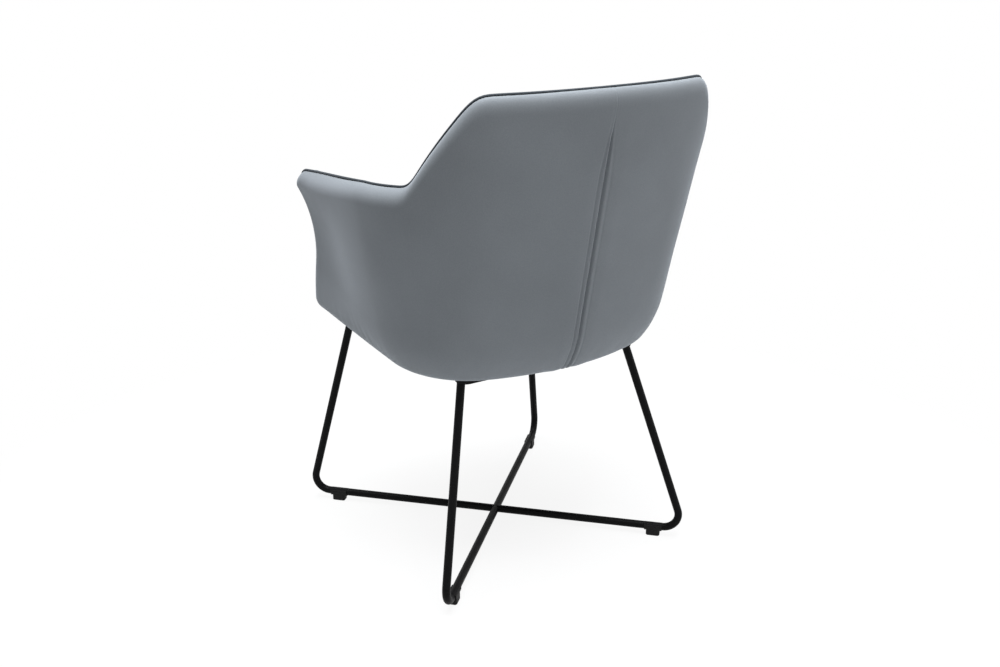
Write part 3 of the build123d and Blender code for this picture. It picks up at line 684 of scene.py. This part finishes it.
class ARMCHAIR_OT_inner_cover(bpy.types.Operator):
    """Line the inside of the back and arms"""

    bl_idname = "armchair.inner_cover"
    bl_label = "Inner Cover"

    def execute(self, context):
        sizes = context.scene.armchair_wall
        body = np.linspace(INNER_START, 2 * HALF - INNER_START, 300)
        place = np.concatenate([INNER_ENDS, body, 2 * HALF - INNER_ENDS[::-1]])
        points = self.inside(WallSections(place, sizes), sizes)
        piece = sew_cover(context, "inner_cover", points)
        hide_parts("inner_cover", "wall_foam")
        return {"FINISHED"}

    @staticmethod
    def inside(w, sizes):
        """Grid of the inside.

        Rows run from under the cord over the inner edge and down the inner face to the seat. The surface
        is then padded out along its normal, evenly and by a soft unevenness, which both fade to its border.
        """
        low, middle, high = w.joints(w.thickness)
        start = w.edge - sizes.piping_diameter * CORD_SHARE
        over = w.inner_roll_rows(start, INNER_BELOW, 22)
        under_cord = w.lifted(start - TUCK_BACK, w.roll - TUCK_DOWN)
        r, h = join_rows(
            w.line_rows(under_cord, w.lifted(start, w.roll - INNER_BELOW), 3),
            over,
            w.line_rows((over[0][-1], over[1][-1]), high, 6),
            w.face_rows(high, middle, w.top, w.mid, 48),
            w.face_rows(middle, low, w.mid, w.low, 14),
        )
        points = w.world(r, h)
        share = np.linspace(0.0, 1.0, len(r))[:, None]
        border = smooth_step(w.q / PUFF_RUN) * smooth_step(share / 0.2) * smooth_step((1 - share) / 0.1)
        puff = PUFF_HEIGHT * border + PUFF_UNEVEN * border * noise_field(points, 12, PUFF_LENGTH)
        return points + grid_normals(points) * puff[..., None]


# Arm facings: their wider foot, and the dome with the dip at its seam
FACING_REACH, FACING_REACH_ROWS = 0.015, 26
FACING_WIDTH, FACING_LENGTH = 0.030, 0.2
DOME_HEIGHT, DOME_RUN = 0.0035, 0.012
DIP_DEPTH, DIP_WIDTH = 0.0008, 0.0015
FACING_AHEAD = 0.0006


class ARMCHAIR_OT_arm_facings(bpy.types.Operator):
    """Close the arms' front ends with padded facings"""

    bl_idname = "armchair.arm_facings"
    bl_label = "Arm Facings"

    def execute(self, context):
        sizes = context.scene.armchair_wall
        for name, place in (("arm_facing_left", 0.0), ("arm_facing_right", 2 * HALF)):
            points = self.face(WallSections(np.array([place]), sizes), sizes)
            piece = sew_cover(context, name, points, mirrored=place > 0)
            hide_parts(name)
        return {"FINISHED"}

    @staticmethod
    def face(w, sizes):
        """Grid across the arm's end: straight lines from the outer edge's curve to the inner edge's curve.

        At its foot the inner curve reaches further in, to the cushion. The face stands ahead of the end by
        a low dome, and dips to the seam round its border.
        """
        depth = sizes.front_roll
        end = w.edge - sizes.piping_diameter - CORD_ROOM
        low, middle, high = w.joints(depth)
        inner_low, inner_middle, inner_high = w.joints(w.thickness)
        over = w.inner_roll_rows(w.edge, INNER_BELOW, 20)
        outer = join_rows(
            w.foot_rows(depth, 12),
            w.face_rows(low, middle, w.low, w.mid, 16),
            w.face_rows(middle, high, w.mid, w.top, 30),
            w.roll_rows(depth, end, 25),
        )
        inner = join_rows(
            w.line_rows((inner_low[0], depth), inner_low, 12),
            w.face_rows(inner_low, inner_middle, w.low, w.mid, 16),
            w.face_rows(inner_middle, inner_high, w.mid, w.top, 30),
            w.line_rows(inner_high, (over[0][-1], over[1][-1]), 6),
            (over[0][::-1], over[1][::-1]),
        )
        reach = FACING_REACH * (1 - smooth_step(np.arange(len(inner[0])) / FACING_REACH_ROWS))[:, None]
        across = np.linspace(0.0, 1.0, 22)[None, :]
        r = mix(outer[0], inner[0] - reach, across)
        h = mix(outer[1], inner[1], across)
        up = np.linspace(0.0, 1.0, len(outer[0]))[:, None]
        border = np.minimum(
            np.minimum(across, 1 - across) * FACING_WIDTH, np.minimum(up, 1 - up) * FACING_LENGTH
        )
        dome = DOME_HEIGHT * smooth_step(border / DOME_RUN) - DIP_DEPTH * bell(border, 0.0, DIP_WIDTH)
        return w.world(r, h, ahead=dome + FACING_AHEAD)


# Piping: sides of a cord, closer rings over the nose, and the front cords' room before the arm's end
CORD_SIDES = 14
CLOSE_RUN = 0.05
FRONT_ROOM = 0.0003


class ARMCHAIR_OT_piping(bpy.types.Operator):
    """Lay the covered cords along the arms and back, and down each arm's front"""

    bl_idname = "armchair.piping"
    bl_label = "Piping"

    def execute(self, context):
        sizes = context.scene.armchair_wall
        radius = sizes.piping_diameter / 2
        # The cords get the velvet darkened as painted shade along the edge.
        material = dark_velvet(context)
        place = np.concatenate([np.linspace(0, CLOSE_RUN, 26), np.linspace(CLOSE_RUN, HALF, 160)[1:]])
        place = np.concatenate([place, 2 * HALF - place[-2::-1]])
        w = WallSections(place, sizes)
        path = w.world(*w.lifted(w.edge - radius, w.roll + CORD_LIFT))
        piece = new_piece("edge_piping", *self.tube(path, radius), material, "piping_velvet")
        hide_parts("edge_piping")
        for name, place in (("front_piping_left", 0.0), ("front_piping_right", 2 * HALF)):
            path = self.front_path(WallSections(np.array([place]), sizes), radius)
            piece = new_piece(name, *self.tube(path, radius), material, "piping_velvet")
            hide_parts(name)
        return {"FINISHED"}

    @staticmethod
    def front_path(w, radius):
        """Line of a front cord: from the edge piping to the inner face with an eased depth, then down it."""
        low, middle, high = w.joints(w.thickness - radius)
        t = np.linspace(0.0, 1.0, 30)[:, None]
        depth = mix(w.edge, w.thickness, smooth_step(t)) - radius
        r, h = join_rows(
            w.lifted(depth, (w.roll + CORD_LIFT) * (1 - t)),
            w.face_rows(high, middle, w.top, w.mid, 40),
            w.face_rows(middle, low, w.mid, w.low, 30),
        )
        return w.world(r, h, ahead=radius + FRONT_ROOM)[:, 0]

    @staticmethod
    def tube(path, radius):
        """Round tube along a path: each ring stands square to the path's tangent, and ends are domed.

        The ring's first direction is a guide near the chair's upright, made square to the tangent.
        """
        tangent = np.gradient(path, axis=0)
        tangent /= np.linalg.norm(tangent, axis=1, keepdims=True)
        steps = np.array([-1.0, -0.75, -0.4])
        cap = np.sqrt(np.maximum(1 - steps ** 2, 0.02))
        start = path[0] + tangent[0] * (steps[:, None] * radius)
        stop = path[-1] - tangent[-1] * (steps[::-1, None] * radius)
        centre = np.concatenate([start, path, stop])
        tangent = np.concatenate([np.repeat(tangent[:1], 3, 0), tangent, np.repeat(tangent[-1:], 3, 0)])
        size = radius * np.concatenate([cap, np.ones(len(path)), cap[::-1]])
        guide = np.array([0.12, 0.3, 1.0])
        other = np.cross(tangent, np.broadcast_to(guide, tangent.shape))
        other /= np.linalg.norm(other, axis=1, keepdims=True)
        first = np.cross(other, tangent)
        a = np.linspace(0, 2 * pi, CORD_SIDES, endpoint=False)
        ring = first[:, None] * np.cos(a)[:, None] + other[:, None] * np.sin(a)[:, None]
        points = centre[:, None] + ring * size[:, None, None]
        return points, closed_faces(*points.shape[:2])


# Seat cushion: overhang and bulge of its front, foot of its skirt, and how high it follows the wall
CUSHION_POINTS = 240
CUSHION_MIDDLE = np.array([0.0, -0.03])
CUSHION_OVERHANG, CUSHION_BULGE = 0.006, 0.006
SKIRT_FOOT = 0.004
FOLLOW_TOP = 0.076
CROWN_FULL = 0.004
BOARD_ROOM, SKIRT_ROOM, EDGE_ROOM = 0.0005, 0.0006, 0.001

# Filling of the cushion: mesh size, pressure, frames, and the height below which points keep their level
FILL_MESH = 0.005
FILL_PRESSURE = 4.0
FILL_FRAMES = 20
FILL_FOOT = 0.035


class ARMCHAIR_OT_seat_cushion(bpy.types.Operator):
    """Make the seat cushion and let it fill under pressure"""

    bl_idname = "armchair.seat_cushion"
    bl_label = "Seat Cushion"

    def execute(self, context):
        sizes = context.scene.armchair_seat
        points = self.form(sizes, context.scene.armchair_wall)
        faces = closed_faces(*points.shape[:2])
        piece = new_piece("seat_cushion", points, faces, velvet(context), "velvet")
        self.fill(piece, sizes.swell)
        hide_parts("seat_cover", "seat_foam")
        return {"FINISHED"}

    @staticmethod
    def outline(height, inset, front_offset, sizes, wall, rounds):
        """Closed plan line of the cushion at one height, fitted between the wall's inside faces.

        It runs along the board's edge less the wall's reach, and a bowed line closes the front. Evenly
        spaced points are then averaged with their neighbours some rounds, which rounds the front corners.
        """
        w = WallSections(np.linspace(0.0, 2 * HALF, 300), wall)
        low, middle, _ = w.joints(w.thickness)
        level = min(height, FOLLOW_TOP)
        share = np.clip((level - low[1]) / (middle[1] - low[1]), 0, 1)
        reach = mix(low[0], middle[0], share) - sizes.side_gap - inset
        x, y = w.x + reach * w.out[0], w.y + reach * w.out[1]
        front_y = BOARD_FRONT - CUSHION_OVERHANG + front_offset
        keep = y > front_y + EDGE_ROOM
        x, y = x[keep], y[keep]
        span = np.linspace(x[-1], x[0], 80)
        bow = front_y - sizes.front_bow * (1 - (span / abs(x[0])) ** 2)
        line = np.stack([np.concatenate([x, span]), np.concatenate([y, bow])], -1)
        loop = np.concatenate([line, line[:1]])
        step = np.linalg.norm(np.diff(loop, axis=0), axis=1)
        run = np.concatenate([[0.0], np.cumsum(step)])
        t = np.linspace(0.0, run[-1], CUSHION_POINTS, endpoint=False)
        line = np.stack([np.interp(t, run, loop[:, 0]), np.interp(t, run, loop[:, 1])], -1)
        for _ in range(rounds):
            line = 0.5 * line + 0.25 * (np.roll(line, 1, 0) + np.roll(line, -1, 0))
        return line

    @classmethod
    def form(cls, sizes, wall):
        """Closed cushion: rings from the middle of its underside, up its sides and over its crown.

        The height rises as 1.5u - 0.5u^3, flat at the crown, and the inset grows as the cube of u. In
        front, the underside steps down over the board's edge as a skirt.
        """
        bottom = BOARD_TOP + BOARD_ROOM
        level = np.full(CUSHION_POINTS, bottom)
        base = cls.outline(bottom, 0.0, 0.0, sizes, wall, 2)
        front = base[:, 1] < BOARD_FRONT - EDGE_ROOM
        skirt = np.where(front, SKIRT_FOOT, bottom)
        behind = base.copy()
        behind[front, 1] = BOARD_FRONT - SKIRT_ROOM
        rings = []
        for s in (0.08, 0.3, 0.6, 0.9):
            rings.append((CUSHION_MIDDLE + (behind - CUSHION_MIDDLE) * s, level))
        rings += [(behind, level), (behind, skirt), (base, skirt)]
        for u in np.linspace(0.08, 1.0, 22):
            h = mix(bottom, sizes.crown_height, 1.5 * u - 0.5 * u ** 3)
            inset = sizes.crown_inset * u ** 3
            bulge = CUSHION_BULGE * sin(pi * u)
            ring = cls.outline(h, inset, inset - bulge, sizes, wall, int(2 + 14 * u))
            rings.append((ring, np.full(CUSHION_POINTS, h)))
        top = rings[-1][0]
        for s in (0.85, 0.65, 0.45, 0.25, 0.08):
            h = sizes.crown_height + CROWN_FULL * (1 - s * s)
            rings.append((CUSHION_MIDDLE + (top - CUSHION_MIDDLE) * s, np.full(CUSHION_POINTS, h)))
        return np.stack([shell_to_world(line[:, 0], line[:, 1], h) for line, h in rings])

    @staticmethod
    def fill(piece, cap):
        """Remesh evenly, let pressure fill the cloth, and keep each point within the cap of its start.

        Points near the underside keep their height.
        """
        scene = bpy.context.scene
        bpy.context.view_layer.objects.active = piece
        piece.select_set(True)
        even = piece.modifiers.new("Even", "REMESH")
        even.mode = "VOXEL"
        even.voxel_size = FILL_MESH
        even.use_smooth_shade = True
        bpy.ops.object.modifier_apply(modifier=even.name)
        start = np.zeros(len(piece.data.vertices) * 3, np.float32)
        piece.data.vertices.foreach_get("co", start)
        cloth = piece.modifiers.new("Fill", "CLOTH")
        cloth.settings.use_pressure = True
        cloth.settings.uniform_pressure_force = FILL_PRESSURE
        cloth.settings.effector_weights.gravity = 0.0
        cloth.settings.quality = 5
        cloth.point_cache.frame_start = 1
        cloth.point_cache.frame_end = FILL_FRAMES
        for number in range(1, FILL_FRAMES + 1):
            scene.frame_set(number)
        bpy.ops.object.modifier_apply(modifier=cloth.name)
        scene.frame_set(1)
        filled = np.zeros_like(start)
        piece.data.vertices.foreach_get("co", filled)
        start, filled = start.reshape(-1, 3).astype(float), filled.reshape(-1, 3).astype(float)
        move = filled - start
        far = np.linalg.norm(move, axis=1, keepdims=True)
        move *= np.minimum(1.0, cap / np.maximum(far, 1e-9))
        move[:, 2] *= np.where(start[:, 2] < UNDERSIDE + FILL_FOOT, 0.0, 1.0)
        piece.data.vertices.foreach_set("co", (start + move).astype(np.float32).ravel())
        piece.data.update()
        finer = piece.modifiers.new("Finer", "SUBSURF")
        finer.levels = finer.render_levels = 1


# Lining: half its width, its insets from the board's front and bowed rear, its thickness and its sag
LINING_HALF = 0.1938
LINING_FRONT, LINING_REAR, LINING_ROOM = 0.001, 0.0222, 0.0005
LINING_REAR_HALF = 0.110
LINING_THICKNESS = 0.0008
LINING_SAG, LINING_RIPPLE = 0.0012, 0.0002

# Bars under the lining: depths of the rear and the front one, and how wide each holds the cloth up
BAR_PLACES = (0.175, -0.190)
BAR_HOLD = 0.03


class ARMCHAIR_OT_under_cloth(bpy.types.Operator):
    """Stretch the lining cloth under the seat"""

    bl_idname = "armchair.under_cloth"
    bl_label = "Under Cloth"

    def execute(self, context):
        colour = tuple(context.scene.armchair_finish.lining)
        material = finish("lining_cloth", plain_material, colour, 0.95)
        points = self.sheet()
        faces = grid_faces(*points.shape[:2])[:, ::-1]
        piece = new_piece("under_cloth", points, faces, material, "lining")
        give_thickness(piece, LINING_THICKNESS)
        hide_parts("under_cloth")
        return {"FINISHED"}

    @classmethod
    def sheet(cls):
        """Grid of the cloth: a runs across from side to side, and b from front to rear.

        It sags as a sine of b times a cosine of a, with slight ripples, and is held up at the two bars.
        """
        a = np.linspace(-1.0, 1.0, 61)
        b = np.linspace(0.0, 1.0, 61)[:, None]
        y = mix(BOARD_FRONT + LINING_FRONT, cls.rear_edge(a)[None, :], b)
        x = a[None, :] * cls.half_width(y)
        sag = LINING_SAG * np.sin(pi * b) * np.cos(a * pi / 2)
        h = LINING_SAG - sag + LINING_RIPPLE * np.sin(a * 40) * np.sin(pi * b)
        bars = bell(y, BAR_PLACES[0], BAR_HOLD) + bell(y, BAR_PLACES[1], BAR_HOLD)
        return shell_to_world(x, y, np.maximum(h, LINING_THICKNESS * np.clip(bars, 0, 1)))

    @staticmethod
    def rear_edge(a):
        """Rear line of the cloth, on the board's bowed rear edge less the turned-in cover."""
        x = np.abs(a) * LINING_REAR_HALF
        return BOW_Y + np.sqrt((REAR_RADIUS - LINING_REAR) ** 2 - x ** 2) - LINING_ROOM

    @staticmethod
    def half_width(y):
        """Half of the cloth's width at this depth: straight sides, then the board's rounded corner."""
        inset = BOARD_HALF - LINING_HALF
        past = np.maximum(y - CORNER_Y, 0.0)
        corner = np.sqrt(np.maximum((CORNER_RADIUS - inset) ** 2 - past ** 2, 1e-6))
        return np.where(y > CORNER_Y, CORNER_X + corner, BOARD_HALF - inset)


class ARMCHAIR_OT_base(bpy.types.Operator):
    """Finish the rods, bars, glides, fasteners and plywood"""

    bl_idname = "armchair.base"
    bl_label = "Base"

    def execute(self, context):
        coat = finish("rod_powder_coat", coat_material, tuple(context.scene.armchair_finish.coat))
        nylon = finish("glide_nylon", plain_material, NYLON, 0.6, 0.0, 0.15)
        zinc = finish("zinc_plate", plain_material, ZINC, 0.35, 1.0)
        ply = finish("birch_ply", plain_material, BIRCH, 0.65)
        finishes = (
            (("leg_rod", "mount_bar"), coat),
            (("glide",), nylon),
            (("frame_", "tee_", "shell_screws"), zinc),
            (("back_shell", "seat_board"), ply),
        )
        for name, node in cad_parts.items():
            for starts, material in finishes:
                if name.startswith(starts):
                    node.data.materials.clear()
                    node.data.materials.append(material)
        return {"FINISHED"}


# Lamps of the studio: name, place, point aimed at, width, power and colour
LAMPS = (
    ("top_light", (0.1, 0.15, 2.5), (0.0, 0.05, 0.6), 1.7, 168.0, (0.95, 0.975, 1.0)),
    ("fill_light", (-1.9, 2.4, 1.5), (0.0, 0.0, 0.5), 1.6, 22.0, (1.0, 1.0, 1.0)),
)
SKY_STRENGTH = 0.20

# Camera of the photo: azimuth, elevation and roll in degrees, its place, and its sensor in millimetres
CAMERA_TURNS = (148.266, 19.996, -0.134)
CAMERA_PLACE = (1.03183, 1.69108 + BASE_Y, 1.08996)
CAMERA_SENSOR = 36.0


class ARMCHAIR_OT_stage(bpy.types.Operator):
    """Set the floor, the light and the camera"""

    bl_idname = "armchair.stage"
    bl_label = "Stage"

    def execute(self, context):
        scene = context.scene
        sizes = scene.armchair_stage
        self.floor(sizes.floor_size)
        self.lights(scene)
        self.camera(scene, sizes.lens)
        scene.view_settings.view_transform = "Standard"
        return {"FINISHED"}

    @staticmethod
    def floor(size):
        """Large pale floor that the camera sees as white, less so near the chair, where its shadow shows."""
        s = size / 2
        mesh = bpy.data.meshes.new("studio_floor")
        mesh.from_pydata([(-s, -s, 0), (s, -s, 0), (s, s, 0), (-s, s, 0)], [], [(0, 1, 2, 3)])
        floor = bpy.data.objects.new("studio_floor", mesh)
        bpy.context.scene.collection.objects.link(floor)
        material, tree, bsdf = shader("studio_white")
        bsdf.inputs["Base Color"].default_value = (0.9, 0.9, 0.9, 1)
        bsdf.inputs["Roughness"].default_value = 0.9
        bsdf.inputs["Specular IOR Level"].default_value = 0.1
        glow = add_node(tree, "ShaderNodeEmission", Strength=1.0)
        coordinates = tree.nodes.new("ShaderNodeTexCoord")
        spread = add_node(tree, "ShaderNodeMapping", Scale=(0.9, 0.9, 0.9))
        near = tree.nodes.new("ShaderNodeTexGradient")
        near.gradient_type = "SPHERICAL"
        tree.links.new(coordinates.outputs["Object"], spread.inputs["Vector"])
        tree.links.new(spread.outputs["Vector"], near.inputs["Vector"])
        white = ramp(tree, near.outputs["Fac"], (1.0,) * 3, (0.88,) * 3)
        blend = tree.nodes.new("ShaderNodeMixShader")
        share = tree.nodes.new("ShaderNodeMath")
        share.operation = "MULTIPLY"
        tree.links.new(white, share.inputs[1])
        tree.links.new(seen_rays(tree), share.inputs[0])
        tree.links.new(share.outputs["Value"], blend.inputs["Fac"])
        tree.links.new(bsdf.outputs["BSDF"], blend.inputs[1])
        tree.links.new(glow.outputs["Emission"], blend.inputs[2])
        tree.links.new(blend.outputs["Shader"], tree.nodes["Material Output"].inputs["Surface"])
        mesh.materials.append(material)

    @staticmethod
    def lights(scene):
        """Soft top light, a weaker fill behind the chair, and a pale sky that is white to the camera."""
        for name, place, aim, size, power, colour in LAMPS:
            lamp = bpy.data.lights.new(name, "AREA")
            lamp.shape = "SQUARE"
            lamp.size = size
            lamp.energy = power
            lamp.color = colour
            light = bpy.data.objects.new(name, lamp)
            light.location = place
            light.rotation_euler = (Vector(aim) - Vector(place)).to_track_quat("-Z", "Y").to_euler()
            scene.collection.objects.link(light)
        world = bpy.data.worlds.new("studio_sky")
        scene.world = world
        world.use_nodes = True
        tree = world.node_tree
        sky = tree.nodes["Background"]
        sky.inputs["Color"].default_value = (1, 1, 1, 1)
        sky.inputs["Strength"].default_value = SKY_STRENGTH
        white = add_node(tree, "ShaderNodeBackground", Color=(1, 1, 1, 1))
        blend = tree.nodes.new("ShaderNodeMixShader")
        tree.links.new(seen_rays(tree), blend.inputs["Fac"])
        tree.links.new(sky.outputs["Background"], blend.inputs[1])
        tree.links.new(white.outputs["Background"], blend.inputs[2])
        tree.links.new(blend.outputs["Shader"], tree.nodes["World Output"].inputs["Surface"])

    @staticmethod
    def camera(scene, lens):
        """Camera at the photo's angle: azimuth, elevation and roll turn its three axes."""
        a, e, turn = (radians(angle) for angle in CAMERA_TURNS)
        back = Vector((sin(a) * cos(e), -cos(a) * cos(e), sin(e)))
        right = Vector((cos(a), sin(a), 0.0))
        up = back.cross(right)
        right, up = cos(turn) * right + sin(turn) * up, -sin(turn) * right + cos(turn) * up
        lens_data = bpy.data.cameras.new("photo_camera")
        lens_data.sensor_width = CAMERA_SENSOR
        lens_data.lens = lens
        camera = bpy.data.objects.new("photo_camera", lens_data)
        camera.matrix_world = Matrix(
            [(right[i], up[i], back[i], CAMERA_PLACE[i]) for i in range(3)] + [(0, 0, 0, 1)]
        )
        scene.collection.objects.link(camera)
        scene.camera = camera


class ARMCHAIR_PT_panel(bpy.types.Panel):
    """Sidebar panel that lists the armchair's pieces"""

    bl_idname = "ARMCHAIR_PT_panel"
    bl_label = "Velvet Armchair"
    bl_space_type = "VIEW_3D"
    bl_region_type = "UI"
    bl_category = "Armchair"

    def draw(self, context):
        for operator in PIECES:
            self.layout.operator(operator.bl_idname)
        for group in GROUPS:
            box = self.layout.box()
            settings = getattr(context.scene, group)
            for name in settings.bl_rna.properties.keys():
                if name not in ("rna_type", "name"):
                    box.prop(settings, name)


PIECES = (
    ARMCHAIR_OT_outer_covers,
    ARMCHAIR_OT_inner_cover,
    ARMCHAIR_OT_arm_facings,
    ARMCHAIR_OT_piping,
    ARMCHAIR_OT_seat_cushion,
    ARMCHAIR_OT_under_cloth,
    ARMCHAIR_OT_base,
    ARMCHAIR_OT_stage,
)
GROUPS = {
    "armchair_wall": ArmchairWall,
    "armchair_seat": ArmchairSeat,
    "armchair_finish": ArmchairFinish,
    "armchair_stage": ArmchairStage,
}


def register():
    """Register the settings, the operators and the panel."""
    for name, group in GROUPS.items():
        bpy.utils.register_class(group)
        setattr(bpy.types.Scene, name, PointerProperty(type=group))
    for operator in PIECES:
        bpy.utils.register_class(operator)
    bpy.utils.register_class(ARMCHAIR_PT_panel)


def unregister():
    """Take away what register added, in the opposite order."""
    bpy.utils.unregister_class(ARMCHAIR_PT_panel)
    for operator in reversed(PIECES):
        bpy.utils.unregister_class(operator)
    for name, group in reversed(GROUPS.items()):
        delattr(bpy.types.Scene, name)
        bpy.utils.unregister_class(group)


def main():
    """Make every piece in order."""
    register()
    bpy.ops.armchair.outer_covers()
    bpy.ops.armchair.inner_cover()
    bpy.ops.armchair.arm_facings()
    bpy.ops.armchair.piping()
    bpy.ops.armchair.seat_cushion()
    bpy.ops.armchair.under_cloth()
    bpy.ops.armchair.base()
    bpy.ops.armchair.stage()


if __name__ == "__main__":
    main()
